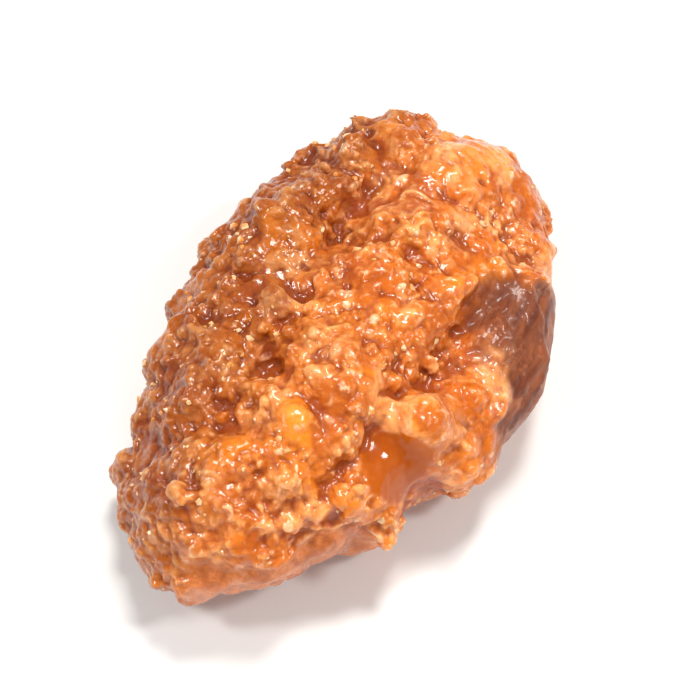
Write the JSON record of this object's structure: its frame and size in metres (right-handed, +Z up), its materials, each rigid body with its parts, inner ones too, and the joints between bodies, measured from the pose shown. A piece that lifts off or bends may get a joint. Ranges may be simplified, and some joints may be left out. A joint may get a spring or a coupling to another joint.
{
  "type": "candied pecan",
  "caption": "Single pecan half in a thick, craggy, glossy crust of amber cinnamon sugar, lying on its flatter side.",
  "frame": {"origin": "in the plane that the nut rests on, under the middle of its bounding box", "axes": "+X along the nut from its pointed tip to its blunt stem end, +Z up through its ridged back"},
  "size_m": [0.0402, 0.0264, 0.0139],
  "materials": {
    "candied_crust": "glossy, translucent amber to orange-brown sugar crust",
    "nut_skin": "satin brown pecan skin under a thin clear glaze",
    "sugar_crystals": "pale translucent sugar grains and crumbs"
  },
  "bodies": {
    "root": {"candied_pecan": "candied_crust"}
  },
  "joints": []
}
